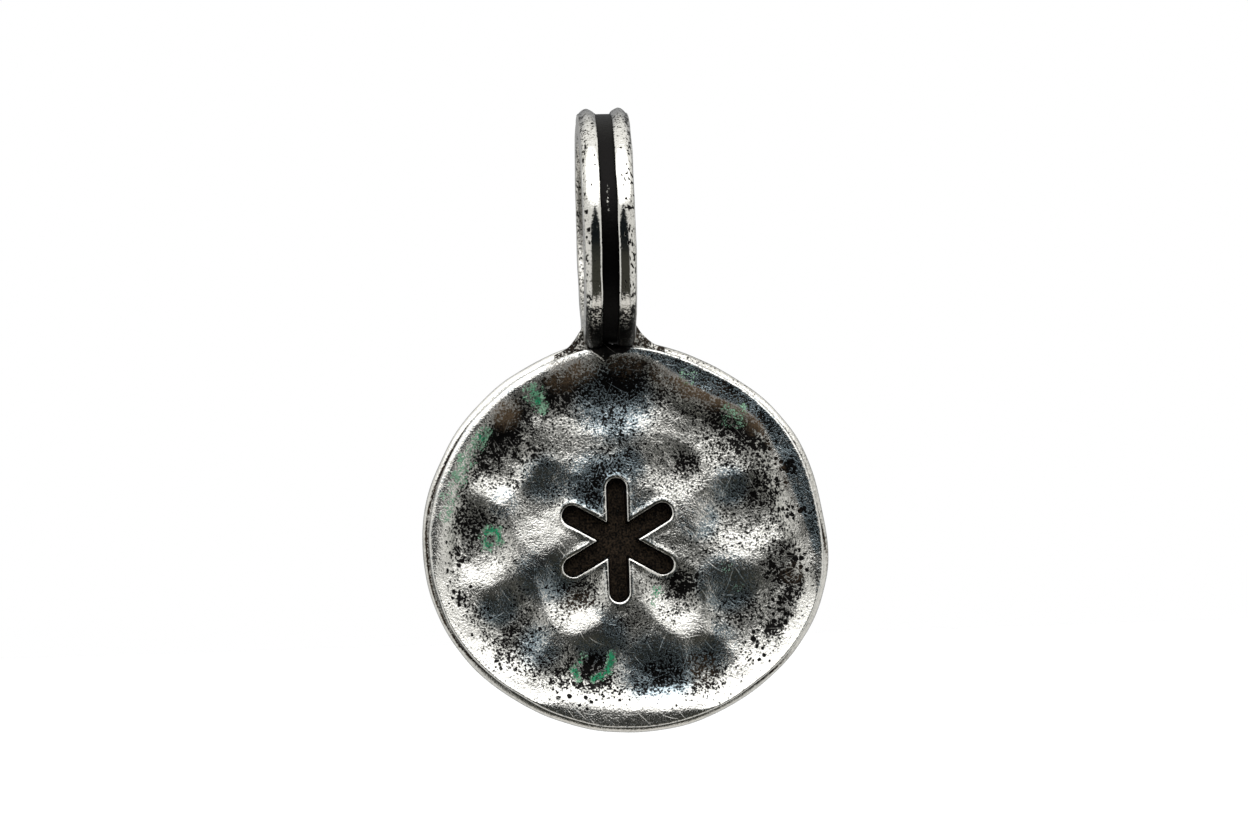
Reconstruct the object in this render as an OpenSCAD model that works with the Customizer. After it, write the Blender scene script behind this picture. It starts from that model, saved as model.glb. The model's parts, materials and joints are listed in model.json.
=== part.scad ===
// Hammered silver disc charm. A face plate pierced with a star is sweat-soldered to a back plate,
// and a grooved ring bail is soldered into a saddle filed across the disc's top edge.
// Frame: the origin is the centre of the bail's bore, +X runs along the bore, the face looks
// towards -Y, and +Z is up, the way the charm hangs. Millimetres.

/* [Bail] */
// Outside diameter of the ring over its rails
bail_outer_d = 12; // [11.6:0.1:12.4]
// Diameter of the bore that a chain or cord passes through
bail_bore_d = 9.2; // [8.4:0.1:9.6]
// Width of the ring along its bore
bail_width = 2.6; // [2.2:0.1:3]
// Width of the dark groove between the rails
groove_width = 0.74; // [0.5:0.02:0.9]
// Depth of the groove under the rails' crowns
groove_depth = 0.3; // [0.2:0.02:0.4]
// Radius of the ring's outer shoulders
shoulder_r = 0.42; // [0.4:0.02:0.5]
// Radius of the arris where each rail's crown turns into the groove
arris_r = 0.1; // [0.05:0.01:0.15]
// Radius of the softened edges of the bore
bore_edge_r = 0.18; // [0.1:0.02:0.25]

/* [Disc] */
// Mean outside diameter of the back plate
disc_d = 19.7; // [19.4:0.1:20]
// Distance from the bore's centre down to the disc's centre
disc_drop = 15.3; // [15.2:0.05:15.4]
// Sideways offset of the disc from the bail, as the solder set it
disc_side = 0.5; // [0:0.05:0.6]
// Thickness of the face plate at its rim
face_thickness = 1; // [0.8:0.05:1.2]
// Thickness of the solder film between the plates
seam_thickness = 0.08; // [0.05:0.01:0.12]
// Thickness of the back plate
back_thickness = 0.85; // [0.6:0.05:1]
// How far the face plate's edge stands in from the back plate's edge
face_inset = 0.3; // [0.2:0.02:0.4]
// How far the solder film's edge stands in from the back plate's edge
seam_inset = 0.44; // [0.42:0.02:0.6]
// Height of the oval that the hammer drew the disc into, over its mean radius
oval_height = 0.2; // [0:0.02:0.3]
// Swells and flats round the edge, as a share of their listed heights
swell_share = 1; // [0:0.1:1.2]

/* [Hammering] */
// Depth of the wide dish inside the rim
dish_depth = 0.2; // [0.1:0.02:0.3]
// Width of the raised rim round the dish
rim_width = 1; // [0.8:0.1:1.4]
// Width of the slope from the rim down to the dish's floor
dish_slope = 0.7; // [0.4:0.1:1.2]
// Depth of the hammer blows, as a share of their listed depths
blow_share = 1; // [0.6:0.1:1.2]

/* [Mark] */
// Length of the star's strokes from end to end
mark_size = 6.2; // [5.4:0.1:7]
// Width of each stroke
stroke_width = 1.05; // [0.8:0.05:1.2]
// Sideways offset of the mark from the disc's centre
mark_side = -0.4; // [-0.6:0.05:0.6]
// Upward offset of the mark from the disc's centre
mark_up = -0.1; // [-0.6:0.05:0.6]
// Number of strokes that cross to make the star
stroke_count = 3; // [2,3,4]

/* [Solder] */
// Reach of the side fillets along the disc's edge and up the ring
fillet_reach = 1.3; // [1:0.05:1.5]
// Thickness of the side fillets, front to back
fillet_thickness = 1.5; // [1:0.1:1.7]
// Radius of the bead that spilled over the front of the joint
bead_r = 0.5; // [0.4:0.02:0.6]
// Length of that bead across the ring
bead_length = 1.9; // [1.4:0.1:2.2]

/* [Hidden] */
$fn = 96;

// The outline is a tipped oval with low swells and flats left by the hammer, chosen to follow the
// real disc's edge. Each is [bearing anticlockwise from +X, half width in degrees, height].
oval_bearing = -15;
swells = [
    [-24, 34, 0.2], [8, 20, -0.12], [60, 30, -0.1], [92, 30, 0.12],
    [122, 28, -0.1], [150, 30, -0.15], [-152, 30, 0.15]
];
outline_steps = 120;

// Hammer blows on the face: [x and z from the disc's centre], radius and depth of the hollow.
blows = [
    [[-0.5, 6.7], 2.5, 0.16],
    [[-4.7, 6.2], 2, 0.12],
    [[5.6, 6.1], 2.2, 0.12],
    [[-7, 1.2], 1.9, 0.2],
    [[5.5, 2.1], 2.2, 0.2],
    [[-2.9, -2.9], 1.7, 0.18],
    [[2.3, -2.7], 1.5, 0.22],
    [[-1.8, -6.3], 1.7, 0.16],
    [[3.9, -6.1], 2.3, 0.16]
];

bail_outer_r = bail_outer_d / 2;
bail_bore_r = bail_bore_d / 2;
half_width = bail_width / 2;
groove_half = groove_width / 2;
groove_floor_r = bail_outer_r - groove_depth;
face_r = disc_d / 2 - face_inset;
front_y = -face_thickness;
back_y = seam_thickness + back_thickness;
slack = 0.5; // how far a cutting shape runs past what it cuts
feather = 0.08; // thickness that a side fillet runs out to
bead_side = 0.1; // sideways offset of the bead from the middle of the ring

silver_light = [0.78, 0.77, 0.74];
silver_dark = [0.42, 0.43, 0.45];
oxide_black = [0.08, 0.08, 0.085];
solder_grey = [0.24, 0.23, 0.22];

function total(values, i = 0) = i < len(values) ? values[i] + total(values, i + 1) : 0;
function angle_gap(a, b) = abs((a - b + 540) % 360 - 180);
function hump(gap, half) = let (t = min(1, gap / half)) 1 - t * t * (3 - 2 * t);
function hammered_r(inset, bearing) =
    disc_d / 2 - inset
    + oval_height * cos(2 * (bearing - oval_bearing))
    + swell_share * total([for (s = swells) s[2] * hump(angle_gap(bearing, s[0]), s[1])]);
function outline(inset) = [
    for (i = [0 : outline_steps - 1])
        let (bearing = 360 * i / outline_steps)
            hammered_r(inset, bearing) * [cos(bearing), sin(bearing)]
];

// Stands a flat shape, drawn with its y up, in the disc's plane from y = from to y = to.
module slab(from, to) {
    translate([disc_side, to, -disc_drop])
        rotate([90, 0, 0])
            linear_extrude(to - from)
                children();
}

// Spins a profile drawn as [radius, distance along the bore] about the X axis.
module ring_about_x() {
    rotate([0, 90, 0])
        rotate_extrude()
            children();
}

// The saddle filed across the disc's top edge, which the ring sits in.
module saddle() {
    rotate([0, 90, 0])
        cylinder(r = bail_outer_r, h = bail_width, center = true);
}

// A flat disc with the hammered outline and the saddle.
module blank(inset, from, to) {
    difference() {
        slab(from, to)
            polygon(outline(inset));
        saddle();
    }
}

module face_blank() {
    blank(face_inset, front_y, 0);
}

module seam_blank() {
    blank(seam_inset, 0, seam_thickness);
}

module back_blank() {
    blank(0, seam_thickness, back_y);
}

// The wide dish: a flat floor with sloping sides, inside the rim.
module dish() {
    top_r = face_r - rim_width;
    translate([disc_side, front_y, -disc_drop])
        rotate([-90, 0, 0])
            cylinder(r1 = top_r, r2 = top_r - dish_slope, h = dish_depth);
}

// A ball whose cap leaves a hollow of the given radius and depth in the face.
module hollow(place, radius, depth) {
    ball_r = (radius * radius + depth * depth) / (2 * depth);
    translate([disc_side + place[0], front_y + depth - ball_r, -disc_drop + place[1]])
        sphere(r = ball_r);
}

// The mark: slots with round ends that cross at their middles.
module star() {
    span = mark_size - stroke_width;
    translate([mark_side, mark_up])
        for (i = [0 : stroke_count - 1])
            rotate(180 * i / stroke_count) {
                square([stroke_width, span], center = true);
                for (side = [-1, 1])
                    translate([0, side * span / 2])
                        circle(d = stroke_width);
            }
}

module face_plate() {
    color(silver_dark)
        difference() {
            face_blank();
            dish();
            for (blow = blows)
                hollow(blow[0], blow[1], (dish_depth + blow[2]) * blow_share);
            slab(front_y - slack, slack)
                star();
        }
}

module plate_solder() {
    color(oxide_black)
        seam_blank();
}

module back_plate() {
    color(silver_dark)
        back_blank();
}

// The ring's whole section, before the groove: a block with round outer shoulders and a soft bore.
module ring_section() {
    shoulder_x = half_width - shoulder_r;
    edge_x = half_width - bore_edge_r;
    height = bail_outer_r - bail_bore_r;
    translate([bail_bore_r, -shoulder_x])
        square([height, 2 * shoulder_x]);
    translate([bail_bore_r, -edge_x])
        square([height - shoulder_r, 2 * edge_x]);
    translate([bail_bore_r + bore_edge_r, -half_width])
        square([height - shoulder_r - bore_edge_r, bail_width]);
    for (side = [-1, 1]) {
        translate([bail_outer_r - shoulder_r, side * shoulder_x])
            circle(r = shoulder_r);
        translate([bail_bore_r + bore_edge_r, side * edge_x])
            circle(r = bore_edge_r);
    }
}

module bail_band() {
    color(oxide_black)
        ring_about_x()
            intersection() {
                ring_section();
                translate([bail_bore_r, -half_width])
                    square([groove_floor_r - bail_bore_r, bail_width]);
            }
}

// The rail on the right, with its arris beside the groove taken off by a quarter round.
module bail_rail() {
    crown_x = groove_half + arris_r;
    ring_about_x()
        difference() {
            intersection() {
                ring_section();
                translate([groove_floor_r, groove_half])
                    square([groove_depth, half_width - groove_half]);
            }
            difference() {
                translate([bail_outer_r - arris_r, 0])
                    square([slack, crown_x]);
                translate([bail_outer_r - arris_r, crown_x])
                    circle(r = arris_r);
            }
        }
}

module bail_rail_right() {
    color(silver_light)
        bail_rail();
}

module bail_rail_left() {
    color(silver_light)
        mirror([1, 0, 0])
            bail_rail();
}

// Height of the face plate's edge at a given x.
function edge_z(x) = sqrt(face_r * face_r - (x - disc_side) * (x - disc_side)) - disc_drop;

// A concave fillet in the corner between the ring's flank and the disc's edge. side is 1 or -1.
module solder_fillet(side) {
    flank_x = side * half_width;
    corner_z = edge_z(flank_x);
    scoop = fillet_reach + feather;
    difference() {
        translate([flank_x, 0, corner_z])
            cube([2 * fillet_reach, fillet_thickness, 2 * fillet_reach], center = true);
        translate([flank_x + side * scoop, 0, corner_z + scoop])
            rotate([90, 0, 0])
                cylinder(r = fillet_reach, h = fillet_thickness + slack, center = true);
        cube([bail_width, 2 * bail_outer_d, 2 * bail_outer_d], center = true);
        slab(front_y - slack, slack)
            polygon(outline(face_inset));
        slab(seam_thickness, back_y + slack)
            polygon(outline(0));
    }
}

module solder_fillet_right() {
    color(solder_grey)
        solder_fillet(1);
}

module solder_fillet_left() {
    color(solder_grey)
        solder_fillet(-1);
}

// A rounded bead in the corner between the ring and the front of the disc.
module solder_bead_front() {
    color(oxide_black)
        difference() {
            translate([bead_side, front_y, -bail_outer_r])
                rotate([0, 90, 0])
                    cylinder(r = bead_r, h = bead_length, center = true);
            saddle();
            face_blank();
            seam_blank();
            back_blank();
        }
}

face_plate();
plate_solder();
back_plate();
bail_band();
bail_rail_left();
bail_rail_right();
solder_fillet_left();
solder_fillet_right();
solder_bead_front();
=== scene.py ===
"""Hammered silver disc charm: worn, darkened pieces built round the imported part."""
import json
import math

import bmesh
import bpy
import numpy as np
from mathutils import Matrix, Vector, noise


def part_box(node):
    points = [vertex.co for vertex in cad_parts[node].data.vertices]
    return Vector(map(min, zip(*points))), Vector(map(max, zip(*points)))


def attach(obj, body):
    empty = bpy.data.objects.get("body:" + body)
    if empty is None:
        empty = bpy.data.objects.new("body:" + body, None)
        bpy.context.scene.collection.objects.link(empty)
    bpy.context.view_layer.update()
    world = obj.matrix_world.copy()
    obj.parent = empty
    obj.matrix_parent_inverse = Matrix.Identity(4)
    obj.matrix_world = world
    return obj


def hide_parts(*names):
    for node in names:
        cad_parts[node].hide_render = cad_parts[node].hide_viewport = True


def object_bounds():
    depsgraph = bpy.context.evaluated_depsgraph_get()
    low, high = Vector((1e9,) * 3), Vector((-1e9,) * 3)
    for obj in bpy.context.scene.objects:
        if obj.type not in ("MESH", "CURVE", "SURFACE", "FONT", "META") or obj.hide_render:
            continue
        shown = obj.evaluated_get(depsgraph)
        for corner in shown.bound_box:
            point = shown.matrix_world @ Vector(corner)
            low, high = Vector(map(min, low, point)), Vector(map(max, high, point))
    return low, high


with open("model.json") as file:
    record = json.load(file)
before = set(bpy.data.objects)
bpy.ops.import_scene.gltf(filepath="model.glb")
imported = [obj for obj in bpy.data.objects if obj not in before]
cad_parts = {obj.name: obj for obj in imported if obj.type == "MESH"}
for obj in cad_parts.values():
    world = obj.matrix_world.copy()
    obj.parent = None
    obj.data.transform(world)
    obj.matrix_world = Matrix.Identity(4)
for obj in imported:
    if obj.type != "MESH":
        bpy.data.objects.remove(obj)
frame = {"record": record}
CAD_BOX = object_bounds()

bl_info = {
    "name": "Hammered Disc Charm",
    "version": (1, 0, 0),
    "blender": (4, 5, 0),
    "location": "View3D > Sidebar > Charm",
    "description": "Builds a hammered, darkened silver disc charm with a grooved ring bail",
    "category": "Add Mesh",
}

MM = 0.001
BODY = "root"


def node_box(node):
    """A CAD node's lowest and highest corners, in millimetres."""
    low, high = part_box(node)
    return Vector(low) / MM, Vector(high) / MM


def mount(name):
    """A mount's record, by its name."""
    return next(m for m in frame["record"]["mounts"] if m["name"] == name)


DISC_CENTRE = Vector(mount("back_face")["pos_m"]) / MM
BORE_R = mount("bail_bore")["dims"]["r_mm"]
FRONT_Y = node_box("face_plate")[0].y
BACK_Y = node_box("back_plate")[1].y
SEAM_Y = node_box("plate_solder")[1].y
BAIL_R = node_box("bail_rail_right")[1].z
RAIL_IN = node_box("bail_rail_right")[0].x
HALF_WIDTH = node_box("bail_rail_right")[1].x
FLOOR_R = node_box("bail_band")[1].z

# The hammered outline is a tipped oval with low swells and flats, as in the CAD:
# [bearing, half width in degrees, height in mm].
OVAL_HEIGHT = 0.2
OVAL_BEARING = -15
SWELLS = (
    (-24, 34, 0.2), (8, 20, -0.12), (60, 30, -0.1), (92, 30, 0.12),
    (122, 28, -0.1), (150, 30, -0.15), (-152, 30, 0.15),
)
# Mean radii of the back plate, the face plate and the solder film, mm.
BACK_R = 9.85
FACE_R = 9.55
SEAM_R = 9.41


# ---------------------------------------------------------------- settings


class FaceSettings(bpy.types.PropertyGroup):
    """Shape of the hammered face."""

    dish: bpy.props.FloatProperty(
        name="Dish depth", description="Depth of the wide dish inside the rim, mm",
        default=0.45, min=0.0, max=0.6,
    )
    blows: bpy.props.FloatProperty(
        name="Hammering", description="Depth of the hammer blows as a share of the listed depths",
        default=1.0, min=0.0, max=1.5,
    )
    stroke: bpy.props.FloatProperty(
        name="Stroke width", description="Width of the mark's strokes, mm", default=1.05, min=0.8, max=1.2
    )
    mark_size: bpy.props.FloatProperty(
        name="Mark size", description="Length of the mark's strokes, mm", default=6.2, min=5.0, max=7.0
    )


class FinishSettings(bpy.types.PropertyGroup):
    """Colours of the metal and of what has grown on it."""

    silver: bpy.props.FloatVectorProperty(
        name="Silver", description="Bare sterling silver", subtype="COLOR", size=3, default=(0.9, 0.89, 0.86)
    )
    oxide: bpy.props.FloatVectorProperty(
        name="Oxide", description="Black oxide in the hollows",
        subtype="COLOR", size=3, default=(0.007, 0.0065, 0.0065),
    )
    brown: bpy.props.FloatVectorProperty(
        name="Brown", description="Warm tint of thin oxide",
        subtype="COLOR", size=3, default=(0.075, 0.045, 0.02),
    )
    patina: bpy.props.FloatVectorProperty(
        name="Patina", description="Thin blue-grey film on the face",
        subtype="COLOR", size=3, default=(0.33, 0.41, 0.46),
    )
    dulled: bpy.props.FloatVectorProperty(
        name="Dulled silver", description="Thin grey film on the other pieces",
        subtype="COLOR", size=3, default=(0.5, 0.49, 0.46),
    )
    verdigris: bpy.props.FloatVectorProperty(
        name="Verdigris", description="Green copper salts in the hollows",
        subtype="COLOR", size=3, default=(0.01, 0.32, 0.14),
    )
    sage: bpy.props.FloatVectorProperty(
        name="Sage", description="Paler, thinner copper salts",
        subtype="COLOR", size=3, default=(0.27, 0.5, 0.34),
    )


class StageSettings(bpy.types.PropertyGroup):
    """Camera and light."""

    azimuth: bpy.props.FloatProperty(
        name="Azimuth", description="Camera's turn about the charm",
        subtype="ANGLE", default=math.radians(-2.2),
    )
    roll: bpy.props.FloatProperty(
        name="Roll", description="Camera's roll about its own axis",
        subtype="ANGLE", default=math.radians(1.8),
    )
    distance: bpy.props.FloatProperty(
        name="Distance", description="From the camera to the charm", unit="LENGTH", default=0.4
    )
    view_width: bpy.props.FloatProperty(
        name="View width", description="Width seen at the charm, mm", default=61.8
    )
    floor_drop: bpy.props.FloatProperty(
        name="Floor drop", description="Gap between the charm and the floor", unit="LENGTH", default=0.012
    )


# ---------------------------------------------------------------- shader toolkit


class Socket:
    """An output of a shader node. Arithmetic on it adds Math nodes to its tree."""

    def __init__(self, recipe, link):
        self.recipe = recipe
        self.link = link

    def maths(self, operation, *values):
        return self.recipe.node("Math", {"operation": operation}, values)[0]

    def __add__(self, other):
        return self.maths("ADD", self, other)

    def __sub__(self, other):
        return self.maths("SUBTRACT", self, other)

    def __rsub__(self, other):
        return self.maths("SUBTRACT", other, self)

    def __mul__(self, other):
        return self.maths("MULTIPLY", self, other)

    def __truediv__(self, other):
        return self.maths("DIVIDE", self, other)

    def __lt__(self, other):
        return self.maths("LESS_THAN", self, other)

    def __abs__(self):
        return self.maths("ABSOLUTE", self)

    def __floor__(self):
        return self.maths("FLOOR", self)

    def clamped(self):
        return self.recipe.node("Clamp", {}, (self, 0.0, 1.0))[0]

    def rising(self, low, high):
        """0 below low, 1 above high, smooth between."""
        return self.recipe.node(
            "MapRange", {"interpolation_type": "SMOOTHSTEP"}, (self, low, high, 0.0, 1.0)
        )[0]

    def most(self, other):
        return self.maths("MAXIMUM", self, other)


class Recipe:
    """A node tree, with one method that makes any node."""

    def __init__(self, tree):
        self.tree = tree
        tree.nodes.clear()

    def node(self, kind, settings, values=()):
        """Adds a node: its settings first, then its sockets' values or links, by place or by name."""
        made = self.tree.nodes.new("ShaderNode" + kind)
        for name, value in settings.items():
            setattr(made, name, value)
        for place, value in values.items() if isinstance(values, dict) else enumerate(values):
            socket = made.inputs[place]
            if isinstance(value, Socket):
                self.tree.links.new(value.link, socket)
            else:
                socket.default_value = value
        return [Socket(self, output) for output in made.outputs]

    def mix(self, factor, first, second):
        """Blends two colours."""
        colours = [c if isinstance(c, Socket) else (*c, 1.0) for c in (first, second)]
        return self.node(
            "Mix", {"data_type": "RGBA", "clamp_factor": True}, {0: factor, 6: colours[0], 7: colours[1]}
        )[2]

    def attribute(self, name):
        return self.node("Attribute", {"attribute_name": name})[2]

    def place(self):
        """The point on the piece, in millimetres."""
        point = self.node("TexCoord", {})[3]
        return self.node("VectorMath", {"operation": "SCALE"}, {0: point, 3: 1 / MM})[0]

    def parts(self, vector):
        return self.node("SeparateXYZ", {}, (vector,))

    def joined(self, x, y, z):
        return self.node("CombineXYZ", {}, (x, y, z))[0]

    def cloud(self, place, scale, detail=3.0, rough=0.55):
        """Soft noise, 0 to 1, with features about 1 / scale millimetres wide."""
        return self.node(
            "TexNoise", {}, {"Vector": place, "Scale": scale, "Detail": detail, "Roughness": rough}
        )[0]

    def chance(self, *values):
        """A random number for each set of whole numbers."""
        values = (*values, 0.0, 0.0)[:3]
        return self.node("TexWhiteNoise", {"noise_dimensions": "3D"}, {"Vector": self.joined(*values)})[0]


def scratches(recipe, along, across, bearing, spacing, length, width, share, seed):
    """1 on thin straight marks that run along one bearing in a plane of millimetres."""
    cos, sin = math.cos(math.radians(bearing)), math.sin(math.radians(bearing))
    run = (along * cos + across * sin) / length + seed
    lane = (across * cos - along * sin) / spacing + seed * 7.3
    row = math.floor(lane)
    run = run + recipe.chance(row, seed) * 17.0
    cell = math.floor(run)
    luck = recipe.chance(row, cell, seed)
    middle = recipe.chance(cell, row, seed + 3.0) * 0.8 + 0.1
    off = abs(lane - row - middle)
    line = 1 - off.rising(0.4 * width / spacing, width / spacing)
    reach = run - cell
    ends = reach.rising(0.0, 0.25) * (1 - reach.rising(0.5, 0.95))
    return line * ends * (luck < share)


def principled(recipe, **values):
    """The metal's shader: constants on its own sockets, patterns linked."""
    shader = recipe.node("BsdfPrincipled", {}, values)[0]
    recipe.node("OutputMaterial", {}, (shader,))


def bump(recipe, height, strength, depth):
    return recipe.node(
        "Bump", {}, {"Strength": strength, "Distance": depth * MM, "Height": height}
    )[0]


# Scratches run in families: bearing in degrees, spacing and length in mm, and the share kept.
SCRATCHES = (
    (-38, 1.1, 1.5, 0.3), (-55, 0.8, 1.1, 0.3), (24, 1.0, 1.3, 0.2),
    (68, 1.3, 1.4, 0.15), (-8, 1.1, 1.0, 0.15),
)
SCRATCH_WIDTH = 0.016


def aged_silver(name, plane, polish=0.17, marks=1.0, relief=1.0, film="dulled"):
    """Sterling silver, blackened and rubbed back.

    plane names the two axes that its scratches lie in, polish is the clean metal's roughness, marks is
    the share of scratches, relief the depth of the grain, and film the colour that thin oxide gives.
    The piece's attributes say where it is tarnished, brown, green, grainy or pitted, between 0 and 1; the
    tarnish value also carries painted shade and painted sheen, which darken or clear the oxide mask.
    """
    finish = bpy.context.scene.charm_finish
    material = bpy.data.materials.new(name)
    material.use_nodes = True
    recipe = Recipe(material.node_tree)
    place = recipe.place()
    axes = recipe.parts(place)
    along, across = axes["XYZ".index(plane[0])], axes["XYZ".index(plane[1])]

    tarnish = recipe.attribute("tarnish")
    brown = recipe.attribute("brown")
    green = recipe.attribute("green")
    grain = recipe.attribute("grain")
    pitted = recipe.attribute("pits")

    fine = recipe.cloud(place, 10.0, 2.0, 0.6) - 0.5
    middle = recipe.cloud(place, 2.6, 3.0, 0.6) - 0.5
    wide = recipe.cloud(place, 0.7, 2.0, 0.5) - 0.5
    dots = 0.4 - recipe.node("TexVoronoi", {}, {"Vector": place, "Scale": 8.0})[0]
    pit_gap, pit_luck = recipe.node("TexVoronoi", {}, {"Vector": place, "Scale": 3.6})[:2]
    pit_reach = (recipe.parts(pit_luck)[0].rising(0.1, 0.9) * 0.6 + middle * 0.6) * pitted
    pit = (pit_reach - pit_gap - fine * 0.5).rising(-0.03, 0.05)

    bent = across + recipe.cloud(place, 0.45, 1.0) * 0.9
    scratch = 0.0
    if marks:
        for seed, (bearing, spacing, length, share) in enumerate(SCRATCHES, start=1):
            lines = (bearing, spacing, length, SCRATCH_WIDTH)
            scratch = scratches(recipe, along, bent, *lines, share * marks, float(seed)) + scratch
        scratch = scratch.clamped()

    specks = dots * (grain * 0.6 + 0.25) + fine * (grain * 1.2 + 0.9) + wide * 0.2
    specks = specks + middle * (grain * 0.8 + pitted * 1.2 + 0.3)
    # The oxide mask darkens real oxide and also the painted shade carried in the tarnish value.
    oxide = ((tarnish + specks).rising(0.37, 0.59).most(pit) - scratch * 0.55).clamped()
    veil = (tarnish * 1.2 + specks * 0.8).rising(0.05, 0.55)

    thin = recipe.mix(grain.rising(0.6, 1.1), tuple(getattr(finish, film)), tuple(finish.dulled))
    bare = recipe.mix(veil, tuple(finish.silver), thin)
    colour = recipe.mix(oxide, bare, tuple(finish.oxide))
    brown_mask = (brown * 1.1 + (fine * 2.0 + middle) * brown.rising(0.0, 0.2) - 0.1).clamped()
    colour = recipe.mix(brown_mask, colour, tuple(finish.brown))
    grown = green.rising(0.0, 0.25)
    green_mask = (green + (fine * 3.2 + middle * 2.6) * grown - 0.38).rising(0.05, 0.45)
    salts = recipe.mix(green.rising(0.65, 0.85), tuple(finish.sage), tuple(finish.verdigris))
    salts = recipe.mix((0.5 - fine * 2.5).clamped(), salts, tuple(finish.oxide))
    colour = recipe.mix(green_mask, colour, salts)

    rough = grain * 0.1 + polish + fine * 0.25 + oxide * 0.15 + wide * 0.06 + scratch * 0.25
    rough = rough.most(green_mask * 0.6).most(brown_mask * 0.6).clamped()
    metal = (1 - oxide * 0.08 - brown_mask * 0.7 - green_mask * 0.6).clamped()
    height = fine * (grain * 0.8 + 0.45) + middle * 0.6 - oxide * 0.3 - pit * 0.6 - scratch * 0.2
    principled(
        recipe,
        **{
            "Base Color": colour,
            "Roughness": rough,
            "Metallic": metal,
            "Normal": bump(recipe, height, 1.0, 0.03 * relief),
        },
    )
    return material


# ---------------------------------------------------------------- mesh helpers, in millimetres


# Points closer than this are one point, mm.
MERGE_GAP = 2e-4


def arc(centre, radius, start, end, steps):
    """Points along an arc in a plane; angles in degrees."""
    turn = [math.radians(start + (end - start) * i / steps) for i in range(steps + 1)]
    return [(centre[0] + radius * math.cos(a), centre[1] + radius * math.sin(a)) for a in turn]


def resampled(points, gap, closed):
    """The same path with points no further apart than gap."""
    ends = points[1:] + points[:1] if closed else points[1:]
    found = []
    for here, there in zip(points, ends):
        count = max(1, math.ceil(math.dist(here, there) / gap))
        found += [tuple(a + (b - a) * i / count for a, b in zip(here, there)) for i in range(count)]
    return found if closed else found + [points[-1]]


def spun(profile, axis, steps, closed):
    """Spins a profile, drawn as [radius, distance along the axis], right round the X or Y axis.

    An eighth is spun and then doubled three times, so steps is a multiple of eight.
    """
    bm = bmesh.new()
    lay = {"X": lambda r, t: (t, 0, r), "Y": lambda r, t: (r, t, 0)}[axis]
    verts = [bm.verts.new(lay(*point)) for point in profile]
    pairs = zip(verts, verts[1:] + verts[:1] if closed else verts[1:])
    edges = [bm.edges.new(pair) for pair in pairs]
    bmesh.ops.spin(
        bm, geom=verts + edges, cent=(0, 0, 0), axis=(axis == "X", axis == "Y", 0),
        angle=math.tau / 8, steps=steps // 8, use_merge=False,
    )
    for turn in (math.tau / 8, math.tau / 4, math.tau / 2):
        whole = bm.verts[:] + bm.edges[:] + bm.faces[:]
        copied = bmesh.ops.duplicate(bm, geom=whole)["geom"]
        moved = [g for g in copied if isinstance(g, bmesh.types.BMVert)]
        bmesh.ops.rotate(bm, verts=moved, cent=(0, 0, 0), matrix=Matrix.Rotation(turn, 3, axis))
    bmesh.ops.remove_doubles(bm, verts=bm.verts, dist=MERGE_GAP)
    bmesh.ops.recalc_face_normals(bm, faces=bm.faces)
    return bm


def finished(bm, name):
    """Turns a bmesh into an object of this scene, still in millimetres."""
    bmesh.ops.triangulate(bm, faces=[f for f in bm.faces if len(f.verts) > 4])
    mesh = bpy.data.meshes.new(name)
    bm.to_mesh(mesh)
    bm.free()
    mesh.polygons.foreach_set("use_smooth", np.ones(len(mesh.polygons), bool))
    piece = bpy.data.objects.new(name, mesh)
    bpy.context.collection.objects.link(piece)
    return piece


def points_of(piece):
    found = np.empty(len(piece.data.vertices) * 3)
    piece.data.vertices.foreach_get("co", found)
    return found.reshape(-1, 3)


def place_points(piece, points):
    """Writes the points back and takes the piece from millimetres to metres."""
    piece.data.vertices.foreach_set("co", (points * MM).ravel())
    piece.data.update()


def paint(piece, **fields):
    """Stores one number per vertex for each named field, which the materials read."""
    for name in ("tarnish", "brown", "green", "grain", "pits"):
        values = np.clip(fields.get(name, 0.0) * np.ones(len(piece.data.vertices)), 0, 1)
        layer = piece.data.attributes.new(name, "FLOAT", "POINT")
        layer.data.foreach_set("value", values.astype(np.float32))


def seat(piece, material, slot, *nodes):
    """Gives a piece its finish and its place in the part."""
    piece.data.materials.append(material)
    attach(piece, BODY)
    if nodes:
        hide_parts(*nodes)


def ripple(points, size, seed):
    """Smooth noise, -1 to 1, with features about size mm wide."""
    shift = Vector((seed * 11.3, seed * 5.7, seed * 3.1))
    return np.array([noise.noise(Vector(p) / size + shift) for p in points])


def smooth(low, high, x):
    t = np.clip((x - low) / (high - low), 0, 1)
    return t * t * (3 - 2 * t)


def swell(x, middle, half):
    """A soft hump, 1 at the middle and 0 past half either side."""
    return 1 - smooth(0, half, np.abs(x - middle))


def angle_gap(bearing, middle):
    """How far a bearing in degrees is from another, 0 to 180."""
    return np.abs((bearing - middle + 180) % 360 - 180)


def lobes(bearing):
    """How far the hammered edge stands out from a circle, in mm."""
    oval = OVAL_HEIGHT * np.cos(2 * np.radians(bearing - OVAL_BEARING))
    return oval + sum(h * swell(angle_gap(bearing, middle), 0, half) for middle, half, h in SWELLS)


# ---------------------------------------------------------------- the hammered face

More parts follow.
